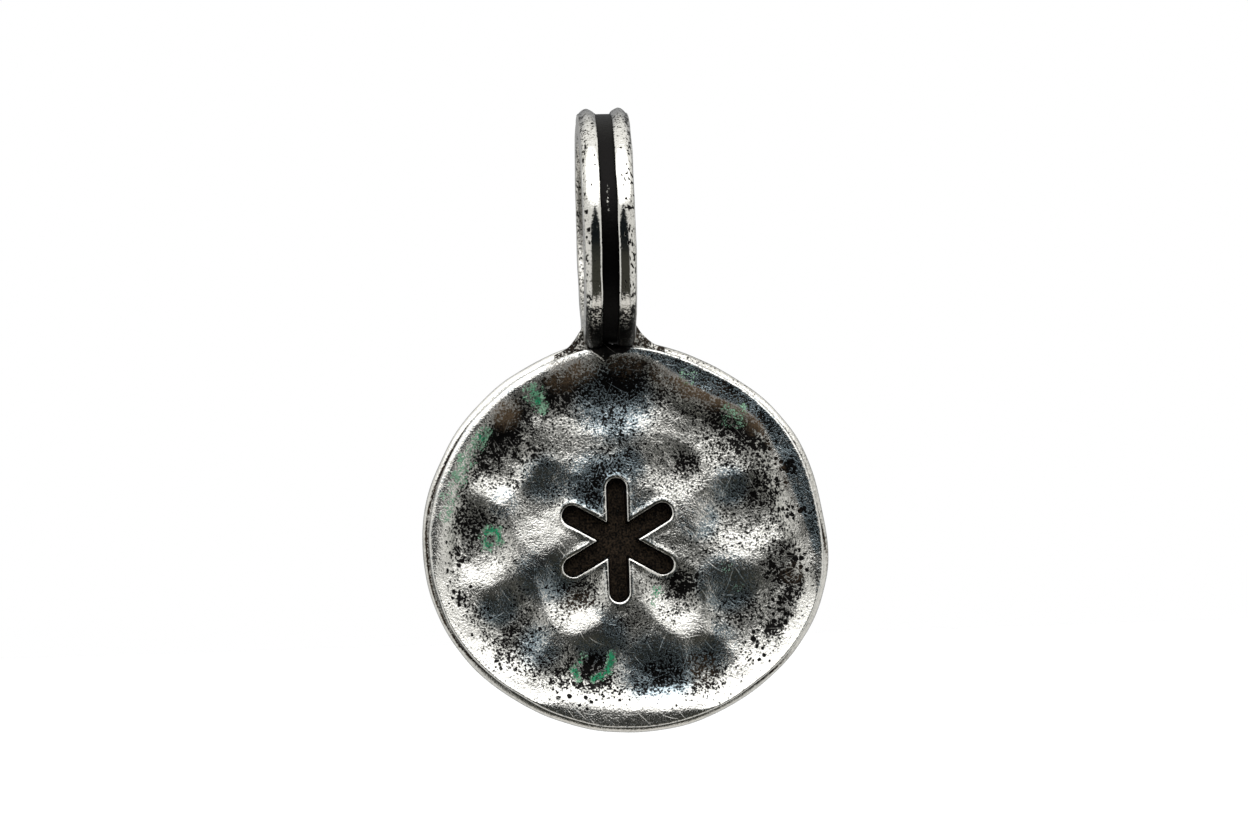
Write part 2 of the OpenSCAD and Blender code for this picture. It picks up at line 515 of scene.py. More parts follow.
# Hammer blows, in mm: deepest place from the disc's centre, half width, reach up, reach down,
# turn in degrees and depth. Each is steeper on its lower side, where the hammer's edge bit.
BLOWS = (
    (-0.8, 6.4, 3.8, 2.4, 1.55, 4, 0.18),
    (-1.7, 4.2, 3.1, 1.2, 1.5, -2, 0.08),
    (-6.1, 4.0, 2.3, 2.8, 2.4, 18, 0.46),
    (5.3, 5.4, 3.0, 2.6, 3.2, 32, 0.3),
    (-7.3, -0.2, 2.2, 2.6, 2.2, -3, 0.5),
    (5.8, 1.1, 2.9, 2.2, 2.4, 17, 0.45),
    (-4.1, 2.0, 2.1, 2.4, 3.0, -20, 0.3),
    (-2.7, -2.7, 2.1, 2.4, 2.1, 22, 0.6),
    (2.3, -2.9, 1.6, 2.6, 2.5, 32, 0.54),
    (5.4, -3.6, 2.4, 2.5, 3.2, 20, 0.4),
    (-5.6, -4.0, 2.2, 2.4, 3.2, -24, 0.38),
    (-1.7, -6.4, 2.2, 1.8, 2.0, -6, 0.4),
    (1.5, -6.6, 2.2, 1.9, 1.6, 6, 0.1),
    (4.0, -6.3, 1.9, 1.8, 1.8, 24, 0.22),
    (2.7, 3.4, 1.8, 1.6, 1.7, 20, 0.22),
)
# Places where the oxide stayed, or was rubbed off: place, half size and strength.
DARK = (
    (-5.6, 5.3, 1.8, 0.25), (-7.0, 0.6, 1.6, 0.32), (5.4, 6.2, 1.9, 0.15), (6.6, 4.9, 1.6, 0.25),
    (7.0, 2.4, 1.7, 0.2), (6.0, 1.8, 1.3, 0.15), (7.6, -1.6, 1.5, 0.3), (7.2, -4.9, 0.75, 0.7),
    (-7.4, -3.3, 1.1, 0.2), (-5.6, -4.8, 1.7, 0.2), (-2.4, -2.6, 1.3, 0.3), (2.8, -2.2, 1.3, 0.5),
    (-1.7, -6.6, 1.3, 0.5), (-3.7, -6.2, 1.4, 0.25), (0.2, 8.5, 2.0, 0.25), (-3.2, 7.3, 1.9, 0.2),
    (3.0, 6.6, 2.0, 0.05), (3.4, -6.6, 2.0, 0.15), (5.5, -3.9, 1.4, 0.15), (-3.9, 4.5, 1.2, 0.2),
    (3.1, 3.6, 1.0, 0.35), (-8.4, 1.2, 0.9, 0.25), (-8.3, -2.6, 0.5, 0.4), (8.8, -2.4, 0.9, 0.3),
    (8.3, 1.0, 0.8, 0.1), (8.0, 3.0, 0.8, 0.2), (-1.4, 2.6, 1.8, 0.25), (1.5, -6.7, 1.6, 0.2),
    (-0.6, 6.8, 2.0, 0.15), (-0.6, 4.1, 2.2, 0.12), (5.2, 3.4, 1.5, 0.12), (0.0, -4.6, 1.6, 0.15),
    (0.3, 4.4, 1.0, 0.12), (7.6, -3.2, 1.1, 0.2), (-8.4, 2.3, 1.2, 0.2),
)
# Lighter patches where the oxide is thinned: partly rubbed metal, partly painted sheen where the face would
# catch the light. Place, half size and strength.
BRIGHT = (
    (5.8, -0.5, 1.7, 0.1), (-6.6, 2.5, 1.4, 0.2), (-7.2, -1.8, 1.6, 0.45), (-2.2, -4.2, 1.1, 0.6),
    (3.2, -4.6, 1.2, 0.45), (-1.9, 5.0, 2.2, 0.15), (4.6, 2.9, 1.2, 0.1), (5.8, -6.0, 1.9, 0.25),
    (-3.9, 0.4, 1.9, 0.35), (3.4, 1.2, 1.1, 0.2), (1.6, -8.0, 1.2, 0.1),
)
# Hollows that were burnished smooth.
SMOOTH = (
    (-0.4, 6.6, 2.6, 0.8), (5.2, 2.4, 1.3, 0.8), (4.9, -2.4, 1.9, 0.9), (-4.0, -1.6, 1.9, 0.9),
    (1.4, -6.6, 2.4, 0.9), (-6.4, -3.2, 1.3, 0.7), (-3.9, 3.0, 1.6, 0.6), (-1.6, 2.9, 1.9, 0.9),
    (0.2, 3.6, 1.2, 0.6), (-1.4, -4.9, 1.8, 0.7), (3.6, 0.8, 1.4, 0.7), (-4.4, -5.2, 1.5, 0.5),
    (4.2, -5.4, 1.6, 0.7), (-0.4, 0.9, 2.6, 0.6), (-6.0, 1.9, 1.0, 0.6),
)
BROWN = (
    (-5.8, 6.3, 1.1, 0.85), (-2.9, 8.2, 1.3, 0.6), (-1.8, 8.4, 1.0, 0.5), (3.5, 7.5, 1.2, 0.9),
    (5.75, 6.35, 1.0, 0.85), (4.6, 7.0, 1.1, 0.9), (6.6, 5.5, 0.9, 0.65), (2.3, 8.1, 1.2, 0.5),
    (-2.4, -3.2, 1.3, 0.22), (3.5, -6.6, 1.4, 0.2), (8.2, -2.0, 0.9, 0.25), (0.3, 8.7, 1.4, 0.3),
)
GREEN = (
    (-6.6, 0.26, 0.85, 1.1), (-6.6, 0.2, 0.4, -0.9), (-0.85, -5.75, 0.35, 1.0), (-0.9, -6.15, 0.35, 1.0),
    (-1.1, -6.5, 0.38, 1.1), (-1.45, -6.8, 0.38, 1.0), (-1.8, -6.95, 0.3, 0.9), (-2.2, -5.7, 0.3, 0.7),
    (-2.45, -6.1, 0.3, 0.8), (-2.7, -6.5, 0.4, 0.9), (-2.6, -6.9, 0.35, 0.7), (-8.9, 1.4, 0.6, 0.6),
    (-8.7, 2.2, 0.75, 0.62), (-8.3, 3.1, 0.75, 0.65), (-7.8, 4.0, 0.75, 0.65), (-7.2, 4.9, 0.75, 0.6),
    (-6.8, 5.4, 0.6, 0.6), (-4.3, 7.3, 0.8, 0.75), (-4.0, 6.6, 0.6, 0.6), (5.6, 5.9, 1.1, 0.45),
    (3.4, 7.9, 0.9, 0.3), (1.5, -2.7, 0.45, 0.8), (1.3, -3.3, 0.35, 0.6), (4.9, -1.6, 0.5, 0.42),
    (5.5, -2.6, 0.4, 0.4), (-6.9, -0.4, 0.4, 0.5),
)
# Where acid or sand left the metal pitted.
PITTED = (
    (8.2, -1.4, 1.6, 1.0), (7.6, -3.6, 1.6, 1.0), (6.6, -5.4, 1.6, 0.9), (8.4, 1.0, 1.2, 0.9),
    (8.0, 3.0, 1.4, 0.8), (7.0, 2.0, 1.6, 0.5), (5.0, -7.0, 1.6, 0.5), (-8.6, -0.6, 1.3, 0.9),
    (-8.2, -2.6, 1.2, 0.8), (-7.4, -4.6, 1.2, 0.6), (-6.2, -6.2, 1.6, 0.6), (-2.8, -7.6, 1.8, 0.8),
    (-5.2, 3.6, 1.6, 0.5), (-4.6, 5.6, 1.4, 0.5), (0.5, 5.0, 2.0, 0.5), (4.6, 4.4, 1.8, 0.5),
    (-0.6, -7.9, 1.4, 0.5), (2.6, -7.7, 1.6, 0.5), (5.6, 0.3, 1.5, 0.3), (7.0, 4.4, 1.3, 0.7),
)
MARK_PLACE = (-0.4, -0.1)
MARK_ARMS = (90, 30, -30)
# How neighbouring blows run together: 1 adds their depths, a large number keeps the deeper one.
OVERLAP = 2.2
# The deepest hollow, which leaves enough metal behind it, and how gently others near it, mm.
DEEPEST = 0.78
DEEPEST_EASE = 0.05
# Rounding where the star's strokes meet, mm.
MARK_BLEND = 0.035
# The star's wall: [gap from its edge, y], from the rounded lip down to the back.
MARK_WALL = ((-0.012, -0.985), (-0.035, -0.955), (-0.05, -0.9), (-0.07, -0.7), (-0.09, -0.45), (-0.11, -0.2))
MARK_TAPER = 0.12
FACE_RINGS = 122
FACE_STEPS = 400
FACE_CORNER_R = 0.11


def patches(u, v, listed):
    """Soft round patches added together."""
    total = np.zeros(len(u))
    for cu, cv, half, strength in listed:
        total += strength * (1 - smooth(0.25, 1.0, np.hypot(u - cu, v - cv) / half))
    return total


def mark_gap(u, v, settings):
    """Distance out from the star's edge, in mm; below 0 inside it."""
    reach = (settings.mark_size - settings.stroke) / 2
    total = np.zeros(np.shape(u))
    for bearing in MARK_ARMS:
        c, s = math.cos(math.radians(bearing)), math.sin(math.radians(bearing))
        du, dv = u - MARK_PLACE[0], v - MARK_PLACE[1]
        along = np.clip(du * c + dv * s, -reach, reach)
        gap = np.hypot(du - along * c, dv - along * s) - settings.stroke / 2
        total = total + np.exp(-gap / MARK_BLEND)
    return -MARK_BLEND * np.log(total)


def onto_mark(verts, wanted, settings):
    """Slides vertices to where the star's gap has the wanted value."""
    nudge = 0.002
    u = np.array([vert.co.x for vert in verts])
    v = np.array([vert.co.z for vert in verts])
    for _ in range(6):
        here = mark_gap(u, v, settings)
        du = (mark_gap(u + nudge, v, settings) - here) / nudge
        dv = (mark_gap(u, v + nudge, settings) - here) / nudge
        step = (here - wanted) / np.maximum(du * du + dv * dv, 0.05)
        u, v = u - du * step, v - dv * step
    for vert, x, z in zip(verts, u, v):
        vert.co.x, vert.co.z = x, z


def turned_up(bearing):
    """1 where the rim's inner wall rises right to the edge, low on both sides."""
    return smooth(0, 12, 34 - angle_gap(bearing, -146)) + smooth(0, 12, 32 - angle_gap(bearing, -42))


def rim_width(bearing):
    """Width of the flattened rim, which the hammer spread unevenly."""
    return (
        0.28
        - 0.2 * turned_up(bearing)
        + 0.6 * (1 - smooth(0, 34, angle_gap(bearing, 14)))
        + 0.5 * (1 - smooth(0, 24, angle_gap(bearing, 60)))
        + 0.5 * (1 - smooth(0, 30, angle_gap(bearing, -92)))
        + 0.05 * (1 - smooth(0, 40, angle_gap(bearing, 125)))
        + 0.3 * (1 - smooth(20, 40, angle_gap(bearing, 48)))
    )


def sunk(u, v, edge, bearing, settings):
    """Depth of the hammered surface below the rim's crown; edge is how far in from the plate's edge."""
    rim = rim_width(bearing)
    outward = np.clip((rim - edge) / rim, 0, 1)
    flat = smooth(60, 40, angle_gap(bearing, 45))
    bevel = 0.03 + 0.06 * rim + 0.11 * swell(angle_gap(bearing, 128), 0, 50)
    bevel = bevel * (1 - 0.75 * flat) * outward ** 1.4
    wall = 1.5 + 0.5 * swell(bearing, -135, 50) - 0.3 * swell(bearing, -90, 20)
    t = np.clip((edge - rim) / wall, 0, 1)
    soft, sharp = t * t * (3 - 2 * t), 1 - (1 - t) ** 2
    dish = settings.dish * (soft + (sharp - soft) * turned_up(bearing))
    dish = dish * (1 - 0.45 * smooth(1.5, 6.0, edge - rim))
    inside = smooth(0.0, 1.0, edge - rim)
    total = np.zeros(len(u))
    for cu, cv, half_u, up, down, turn, depth in BLOWS:
        c, s = math.cos(math.radians(turn)), math.sin(math.radians(turn))
        along = ((u - cu) * c + (v - cv) * s) / half_u
        across = (v - cv) * c - (u - cu) * s
        across = across / np.where(across > 0, up, down)
        bowl = np.clip(1 - along ** 2 - across ** 2, 0, 1) ** 2
        total += (settings.blows * depth * bowl) ** OVERLAP
    hammered = total ** (1 / OVERLAP)
    lip = 0.05 * np.exp(-((mark_gap(u, v, settings) - 0.1) / 0.13) ** 2)
    total = bevel + dish + hammered * inside - lip
    return total - DEEPEST_EASE * np.log1p(np.exp((total - DEEPEST) / DEEPEST_EASE))


def make_face_plate(settings):
    past_star = settings.mark_size / 2 + 0.6 + FACE_R / FACE_RINGS
    front = [(FACE_R * i / FACE_RINGS, FRONT_Y) for i in range(FACE_RINGS + 1)]
    corner = arc((FACE_R - FACE_CORNER_R, FRONT_Y + FACE_CORNER_R), FACE_CORNER_R, -90, 0, 5)
    side = [(FACE_R, y) for y in (-0.7, -0.5, -0.3, -0.1)]
    back = [(r, 0.0) for r in (FACE_R - 0.02, 8.0, 6.0, 4.6)]
    inner = [point[0] for point in front if point[0] < past_star]
    profile = front[:-2] + corner + side + back + [(r, 0.0) for r in reversed(inner)]
    bm = spun(profile, "Y", FACE_STEPS, closed=False)

    flat = [f for f in bm.faces if abs(f.normal.y) > 0.9]
    middles = np.array([f.calc_center_median() for f in flat])
    pierced = mark_gap(middles[:, 0], middles[:, 2], settings) < 0
    bmesh.ops.delete(bm, geom=[f for f, gone in zip(flat, pierced) if gone], context="FACES")
    rims = {"front": [], "back": []}
    for edge in bm.edges:
        if edge.is_boundary:
            rims["front" if edge.verts[0].co.y < -0.5 else "back"].append(edge)
    for key, wanted in (("front", 0.0), ("back", -MARK_TAPER)):
        onto_mark(list({v for edge in rims[key] for v in edge.verts}), wanted, settings)
    edges = rims["front"]
    for gap, y in MARK_WALL:
        grown = bmesh.ops.extrude_edge_only(bm, edges=edges)["geom"]
        ring = [g for g in grown if isinstance(g, bmesh.types.BMVert)]
        onto_mark(ring, gap, settings)
        for vert in ring:
            vert.co.y = y
        edges = [g for g in grown if isinstance(g, bmesh.types.BMEdge) and g.is_boundary]
    bmesh.ops.bridge_loops(bm, edges=edges + rims["back"])
    bmesh.ops.recalc_face_normals(bm, faces=bm.faces)
    piece = finished(bm, "face_plate_hammered")

    points = points_of(piece)
    bearing = np.degrees(np.arctan2(points[:, 2], points[:, 0]))
    stretch = 1 + lobes(bearing) / FACE_R * smooth(5, FACE_R, np.hypot(points[:, 0], points[:, 2]))
    points[:, 0] *= stretch
    points[:, 2] *= stretch
    u, v = points[:, 0].copy(), points[:, 2].copy()
    edge = FACE_R + lobes(bearing) - np.hypot(u, v)
    height = -points[:, 1] / -FRONT_Y
    rough = 0.06 * ripple(points, 1.5, 1) + 0.024 * ripple(points, 0.5, 2)
    fade = smooth(0.1, 0.9, edge)
    depth = sunk(u, v, edge, bearing, settings) + rough * (0.3 + 0.7 * fade)
    points[:, 1] += depth * height
    wobble = 0.05 * ripple(points, 1.6, 3) * (1 - smooth(0, 0.8, edge))
    points[:, 0] += wobble * np.cos(np.radians(bearing))
    points[:, 2] += wobble * np.sin(np.radians(bearing))

    # The depth against the mean depth round about says what is a hollow and what is a crest.
    around = [(0.9 * math.cos(a), 0.9 * math.sin(a)) for a in np.linspace(0, math.tau, 7)[:-1]]
    near = 0
    for du, dv in around:
        there = np.degrees(np.arctan2(v + dv, u + du))
        gap = np.maximum(FACE_R + lobes(there) - np.hypot(u + du, v + dv), 0)
        near = near + sunk(u + du, v + dv, gap, there, settings) / len(around)
    cavity = depth - near
    gap = mark_gap(u, v, settings)
    rim = rim_width(bearing)
    # Painted shade: the upper inner slope under the rim is darkened, and the lighter worn band at the rim is
    # narrower at the top and a little lighter at the bottom, as light from above falls on the face.
    height_share = np.sin(np.radians(bearing))
    lower = smooth(0.2, -0.4, height_share)
    upper = smooth(0.1, 0.7, height_share)
    inner = smooth(0.1 + 0.25 * (1 - upper), 0.35 + 0.75 * (1 - upper), edge - rim)
    shade = upper * swell(edge, 1.2, 2.0)
    # The BRIGHT patches thin the oxide: partly rubbed metal, partly painted sheen.
    tarnish = 0.38 + 0.8 * cavity + patches(u, v, DARK) - patches(u, v, BRIGHT) + 0.1 * ripple(points, 2.2, 4)
    tarnish = (tarnish + 0.25 * shade) * (0.3 + 0.7 * inner) - 0.05 * lower * (1 - inner)
    bevelled = smooth(0.1, -0.1, edge - rim) * smooth(0.08, 0.2, edge)
    bevelled = bevelled * smooth(60, 40, angle_gap(bearing, 42))
    foot = smooth(0.15, -0.1, edge - rim) * swell(angle_gap(bearing, -92), 0, 40)
    tarnish += bevelled * (0.36 + 0.16 * ripple(points, 0.8, 12))
    arris = 1 - smooth(0.06, 0.2, gap)
    tarnish = np.where(gap < -0.03, 0.9, tarnish * (1 - arris))
    burnished = np.clip(patches(u, v, SMOOTH), 0, 1)
    crown = swell(edge - rim, 0.15, 0.4)
    grain = (1 - 0.75 * burnished) * (0.35 + 0.65 * smooth(-0.1, 0.3, edge - rim)) * (1 - arris)
    grain = grain + 0.3 * crown + 0.5 * foot
    brown = patches(u, v, BROWN) * (1 - 0.8 * bevelled)
    brown = brown + 0.25 * crown * swell(angle_gap(bearing, 30), 0, 60)
    pitted = patches(u, v, PITTED) * smooth(0.05, 0.2, edge)
    paint(piece, tarnish=tarnish, brown=brown, green=patches(u, v, GREEN), grain=grain, pits=pitted)
    place_disc(piece, points)
    return piece


def place_disc(piece, points):
    """Moves a plate from its own centre to its place under the ring, clear of the ring's seat."""
    place_points(piece, push_out_of_saddle(points + np.array((DISC_CENTRE.x, 0, DISC_CENTRE.z))))


def push_out_of_saddle(points):
    """Moves points that lie in the ring's seat down to its surface."""
    reach = np.hypot(points[:, 1], points[:, 2])
    inside = (np.abs(points[:, 0]) < HALF_WIDTH) & (reach < BAIL_R) & (points[:, 2] < -BAIL_R / 2)
    seat_z = -np.sqrt(np.maximum(BAIL_R ** 2 - points[:, 1] ** 2, 0))
    points[:, 2] = np.where(inside, seat_z, points[:, 2])
    return points


# ---------------------------------------------------------------- the plates behind


def make_seam():
    """The film of solder, whose edge bulges a little between the plates."""
    profile = [(0, 0), (4, 0), (8, 0), (SEAM_R, 0), (SEAM_R + 0.03, SEAM_Y / 2), (SEAM_R, SEAM_Y)]
    profile += [(8, SEAM_Y), (4, SEAM_Y), (0, SEAM_Y)]
    piece = finished(spun(profile, "Y", 240, closed=False), "plate_solder_seam")
    points = points_of(piece)
    bearing = np.degrees(np.arctan2(points[:, 2], points[:, 0]))
    reach = np.hypot(points[:, 0], points[:, 2])
    stretch = 1 + (lobes(bearing) + 0.05 * ripple(points, 0.8, 5)) / SEAM_R * smooth(7, 9, reach)
    points[:, 0] *= stretch
    points[:, 2] *= stretch
    paint(piece, tarnish=0.9 + 0.2 * ripple(points, 0.6, 10), brown=0.3, grain=0.1)
    place_disc(piece, points)
    return piece


# Radii of the back plate's edges: worn wide at the front, barely broken at the back, mm.
FRONT_EDGE_R = 0.36
BACK_EDGE_R = 0.16
BACK_RINGS = 60
# Where the back plate shows past the film: distance in from its edge, and half that dark line's width.
SEAM_LINE = (0.34, 0.12)


def make_back_plate():
    """The plain disc, seen as a pale edge round the face and as the dark floor of the star."""
    front = [(BACK_R * i / BACK_RINGS, SEAM_Y) for i in range(BACK_RINGS - 3)]
    front_edge = arc((BACK_R - FRONT_EDGE_R, SEAM_Y + FRONT_EDGE_R), FRONT_EDGE_R, -90, 0, 8)
    back_edge = arc((BACK_R - BACK_EDGE_R, BACK_Y - BACK_EDGE_R), BACK_EDGE_R, 0, 90, 5)
    back = [(BACK_R * i / BACK_RINGS, BACK_Y) for i in range(BACK_RINGS - 2, -1, -1)]
    profile = resampled(front + front_edge + back_edge + back, 0.2, False)
    piece = finished(spun(profile, "Y", 360, closed=False), "back_plate_worn")
    points = points_of(piece)
    u, v = points[:, 0].copy(), points[:, 2].copy()
    bearing = np.degrees(np.arctan2(v, u))
    edge = BACK_R + lobes(bearing) - np.hypot(u, v)
    stretch = 1 + (lobes(bearing) + 0.05 * ripple(points, 2.0, 6)) / BACK_R
    points[:, 0] *= stretch
    points[:, 2] *= stretch
    behind = smooth(SEAM_Y + 0.3, BACK_Y, points[:, 1])
    points[:, 1] -= behind * (0.035 + 0.03 * ripple(points, 2.6, 7) + 0.012 * ripple(points, 0.8, 8))
    under = (points[:, 1] < SEAM_Y + 0.02) & (np.hypot(u, v) < 8)
    tarnish = 0.2 + 0.2 * ripple(points, 2.4, 9) - 0.15 * smooth(0.4, 0.1, edge)
    line = swell(edge, *SEAM_LINE)
    tarnish = np.where(under, 0.85, tarnish + 0.6 * line * (points[:, 1] < SEAM_Y + 0.1))
    shown = (points[:, 1] < SEAM_Y + 0.3) * (edge < 0.4)
    # Painted shade: the edge that shows past the face is darkened round the upper right.
    tarnish += 0.3 * smooth(70, 30, angle_gap(bearing, 50)) * shown
    paint(piece, tarnish=tarnish, brown=np.where(under, 0.5, 0.3 * line), grain=0.2)
    place_disc(piece, points)
    return piece


# ---------------------------------------------------------------- the bail

# Radii of the groove's arrises and of the bore's edges, mm.
ARRIS_R = 0.17
BORE_EDGE_R = 0.18
# Each rail's crown is a shallow dome this tilted at its edges, in degrees.
CROWN_TILT = 15
CROWN_HALF = 0.2
BAND_STEPS = 304
RAIL_STEPS = 424
# How much lower the rails are worn at the ring's top, mm.
TOP_WEAR = 0.17


def rail_section():
    """The shoulder arc's centre, radius and start, then the crown's centre, radius and height."""
    tilt = math.radians(CROWN_TILT)
    crown_x = RAIL_IN + CROWN_HALF + ARRIS_R * (1 - math.sin(tilt))
    crown_r = CROWN_HALF / math.sin(tilt)
    drop = crown_r * (1 - math.cos(tilt))
    shoulder_r = (HALF_WIDTH - crown_x - CROWN_HALF) / (1 - math.sin(tilt))
    shoulder = (HALF_WIDTH - shoulder_r, BAIL_R - drop - shoulder_r * math.cos(tilt))
    meet = math.degrees(math.asin((FLOOR_R - shoulder[1]) / shoulder_r))
    return shoulder, shoulder_r, meet, (crown_x, BAIL_R - crown_r), crown_r, drop


def ring_turn(points):
    """Degrees round the ring from the front, upwards positive."""
    return np.degrees(np.arctan2(points[:, 2], -points[:, 1]))


def worn_ring(piece, seed):
    """Lets a ring's surface wander a little, as cast and filed metal does."""
    points = points_of(piece)
    radius = np.hypot(points[:, 1], points[:, 2])
    outside = smooth(BORE_R + 0.1, BORE_R + 0.6, radius)
    wander = 0.022 * ripple(points, 1.8, seed) + 0.008 * ripple(points, 0.6, seed + 1)
    swell_r = 1 + outside * wander / BAIL_R
    points[:, 0] += 0.03 * ripple(points, 1.5, seed + 2) * outside
    points[:, 1] *= swell_r
    points[:, 2] *= swell_r
    return points


def make_bail_band():
    """The ring's body, whose outside is the blackened floor of the groove."""
    shoulder, shoulder_r, meet = rail_section()[:3]
    right = [(r, x) for x, r in arc(shoulder, shoulder_r, meet, 0, 6)]
    edge_x = HALF_WIDTH - BORE_EDGE_R
    right += [(r, x) for x, r in arc((edge_x, BORE_R + BORE_EDGE_R), BORE_EDGE_R, 0, -90, 5)]
    left = [(r, -x) for r, x in reversed(right)]
    profile = resampled(right + left, 0.1, True)
    piece = finished(spun(profile, "X", BAND_STEPS, closed=True), "bail_band_blackened")
    points = worn_ring(piece, 20)
    radius = np.hypot(points[:, 1], points[:, 2])
    floor = (radius > FLOOR_R - 0.06) & (np.abs(points[:, 0]) < HALF_WIDTH - 0.3)
    flank = 0.12 + 0.14 * ripple(points, 1.4, 23) + 0.1 * ripple(points, 0.4, 24)
    # Painted sheen: the groove's floor is cleared of some oxide in a soft streak a little above the front,
    # where it would catch the light.
    painted_sheen = 0.42 * swell(ring_turn(points), 14, 18) * swell(points[:, 0], -0.03, 0.26)
    tarnish = np.where(floor, 1 - painted_sheen, flank + 0.25 * (radius < BORE_R + 0.1))
    paint(piece, tarnish=tarnish, pits=np.where(floor, 0.0, 0.35), grain=np.where(floor, 0.0, 0.4))
    place_points(piece, points)
    return piece


def make_bail_rail(side):
    """One domed ridge, on the right for side 1 and on the left for side -1."""
    shoulder, shoulder_r, meet, crown, crown_r, drop = rail_section()
    arris_x = RAIL_IN + ARRIS_R
    arris_y = BAIL_R - drop - ARRIS_R * math.cos(math.radians(CROWN_TILT))
    profile = [(FLOOR_R, RAIL_IN)]
    profile += [(r, x) for x, r in arc((arris_x, arris_y), ARRIS_R, 180, 90 + CROWN_TILT, 5)]
    profile += [(r, x) for x, r in arc(crown, crown_r, 90 + CROWN_TILT, 90 - CROWN_TILT, 6)[1:]]
    profile += [(r, x) for x, r in arc(shoulder, shoulder_r, 90 - CROWN_TILT, meet, 9)[1:]]
    profile = [(r, side * x) for r, x in resampled(profile, 0.06, True)]
    name = "bail_rail_right_worn" if side > 0 else "bail_rail_left_worn"
    piece = finished(spun(profile, "X", RAIL_STEPS, closed=True), name)
    points = worn_ring(piece, 30 + side * 4)
    turn = ring_turn(points)
    radius = np.hypot(points[:, 1], points[:, 2])
    across = (side * points[:, 0] - RAIL_IN) / (HALF_WIDTH - RAIL_IN)
    groove_wall = (across < 0.04).astype(float)
    worn_across = np.clip(1 - across / 0.45, 0, 1) + 0.5 * np.clip(across / 0.4 - 1.5, 0, 1)
    worn_top = TOP_WEAR * swell(turn, 90, 60) * worn_across
    shrink = 1 - worn_top * (radius > FLOOR_R + 0.05) / BAIL_R
    points[:, 1] *= shrink
    points[:, 2] *= shrink
    # Painted shade: the rails are darkened towards the ring's bottom, where they face down at the disc, and
    # more at the foot by the joint; the extra grain there is the metal's own.
    below = smooth(-38, -44, turn) * smooth(-130, -100, turn)
    foot = smooth(-50, -60, turn) * smooth(-130, -110, turn)
    above = smooth(35, 50, turn) * smooth(160, 120, turn)
    shoulder_share = smooth(0.55, 0.8, across)
    tarnish = 0.1 + 0.1 * ripple(points, 1.2, 33 + side) + 0.5 * below + 0.4 * foot + 0.12 * above
    tarnish += 0.75 * groove_wall + 0.1 * shoulder_share + pits(points, side)
    grain = 0.9 * np.maximum(below, above) + 0.4 * shoulder_share
    paint(piece, tarnish=tarnish, grain=grain, pits=0.5 * shoulder_share)
    place_points(piece, points)
    return piece


def pits(points, side):
    """Small dark pits drawn out along the ring, thickest on the shoulders and near its top."""
    turn = ring_turn(points)
    unrolled = np.column_stack((points[:, 0] * 1.6, np.radians(turn) * BAIL_R, points[:, 0] * 0))
    speckle = ripple(unrolled, 0.22, 41 + side) + 0.4 * ripple(unrolled, 0.6, 43 + side)
    across = (side * points[:, 0] - RAIL_IN) / (HALF_WIDTH - RAIL_IN)
    where = 0.2 + 0.8 * swell(across, 0.85, 0.4) + 0.5 * swell(turn, 78, 30)
    return 0.9 * smooth(0.56, 0.72, speckle + 0.28 * where)


# ---------------------------------------------------------------- the solder


# A side fillet: how far it runs into the ring and past the CAD's fillet, its thickness, the height of
# its flare up the ring, and how deep it reaches into the disc's edge, mm.
FILLET_ROOT = 0.25
FILLET_TOE = 0.15
FILLET_THICK = 1.75
FILLET_RISE = 1.45
FILLET_DEEP = 0.45
# The bearings of the two fillets are this far either side of the disc's top, as a slope.
FILLET_SLOPE = 0.1


def make_fillet(side):
    """A concave flare of solder between the ring's flank and the disc's edge."""
    low, high = node_box("solder_fillet_right" if side > 0 else "solder_fillet_left")
    bm = bmesh.new()
    bmesh.ops.create_cube(bm, size=1.0)
    bmesh.ops.subdivide_edges(bm, edges=bm.edges[:], cuts=15, use_grid_fill=True)
    reach = high.x - low.x + FILLET_ROOT
    for vert in bm.verts:
        s, t, w = vert.co.x + 0.5, vert.co.z + 0.5, vert.co.y * 2
        x = HALF_WIDTH - FILLET_ROOT + (reach + FILLET_TOE) * s
        radius = FACE_R + 0.14 + float(lobes(math.degrees(math.atan2(1, FILLET_SLOPE * side))))
        edge_z = DISC_CENTRE.z + math.sqrt(radius ** 2 - (side * x - DISC_CENTRE.x) ** 2)
        rise = FILLET_RISE * max(0.0, 1 - s / 0.95) ** 2.3
        top = min(edge_z + 0.03 + rise, -BORE_R - 0.15)
        bottom = edge_z - FILLET_DEEP
        slim = 1 - 0.3 * t * (0.3 + 0.7 * s)
        y = w * FILLET_THICK / 2 * slim + (BACK_Y + FRONT_Y) / 2
        vert.co = (side * x, y, bottom + (top - bottom) * t)
    bmesh.ops.smooth_vert(bm, verts=bm.verts, factor=0.5, use_axis_x=True, use_axis_y=True, use_axis_z=True)
    bmesh.ops.recalc_face_normals(bm, faces=bm.faces)
    piece = finished(bm, "solder_fillet_right_rough" if side > 0 else "solder_fillet_left_rough")
    points = points_of(piece)
    for axis, seed in ((0, 50), (1, 51), (2, 52)):
        points[:, axis] += 0.035 * ripple(points, 0.4, seed + side * 5)
    paint(piece, tarnish=0.62 + 0.25 * ripple(points, 0.5, 53 + side), brown=0.15, grain=0.6)
    place_points(piece, points)
    return piece


# Where the bead's drip hangs, where its surface is torn bright [x, z], and how far forward it stands, mm.
DRIP_X = -0.55
TEAR = (-0.62, -6.28)
BEAD_PROUD = 0.45


